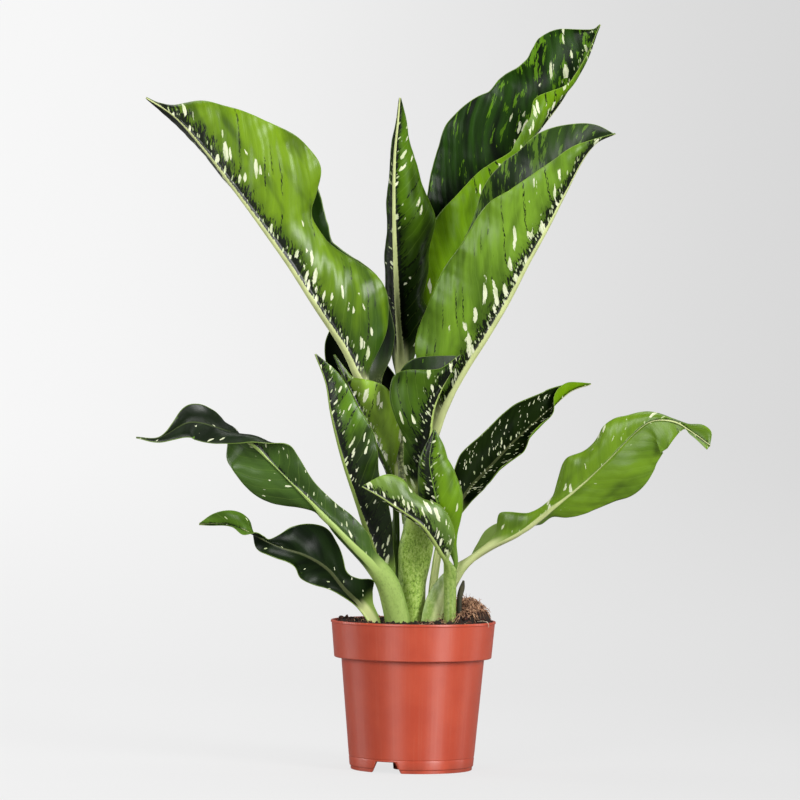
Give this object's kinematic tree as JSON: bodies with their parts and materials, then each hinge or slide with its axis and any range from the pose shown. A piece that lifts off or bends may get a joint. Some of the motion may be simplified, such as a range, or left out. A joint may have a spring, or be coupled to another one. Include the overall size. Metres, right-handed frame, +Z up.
{
  "type": "potted dieffenbachia",
  "caption": "Dieffenbachia house plant: broad, folded, cream-flecked leaves sheathing a short cane and a side shoot, in a tapered terracotta-red plastic nursery pot with a wide collar.",
  "frame": {"origin": "centre of the pot's underside, on the floor", "axes": "+Z up along the plant, +X to the right of the plant's front, +Y away from its front"},
  "size_m": [0.4054, 0.2005, 0.5515],
  "materials": {
    "terracotta_plastic": "satin moulded plastic, terracotta red",
    "potting_soil": "rough dark compost with brown coir",
    "stem": "smooth pale green stalk with fine cream flecks",
    "leaf": "glossy dark green with light-green marbling and cream flecks, paler underneath",
    "dry_sheath": "dull, dark, withered sheath"
  },
  "bodies": {
    "root": {"pot": "terracotta_plastic", "soil": "potting_soil", "cane": "stem", "side_shoot": "stem", "leaf_upper_left": "leaf", "leaf_upper_centre": "leaf", "leaf_upper_back": "leaf", "leaf_upper_right": "leaf", "leaf_front_centre": "leaf", "leaf_left_front": "leaf", "leaf_left_inner": "leaf", "leaf_small_upright": "leaf", "leaf_small_front": "leaf", "leaf_left_long": "leaf", "leaf_left_low": "leaf", "leaf_right_back": "leaf", "leaf_right_long": "leaf", "leaf_back_dark": "leaf", "sheath_remnant": "dry_sheath"}
  },
  "joints": []
}
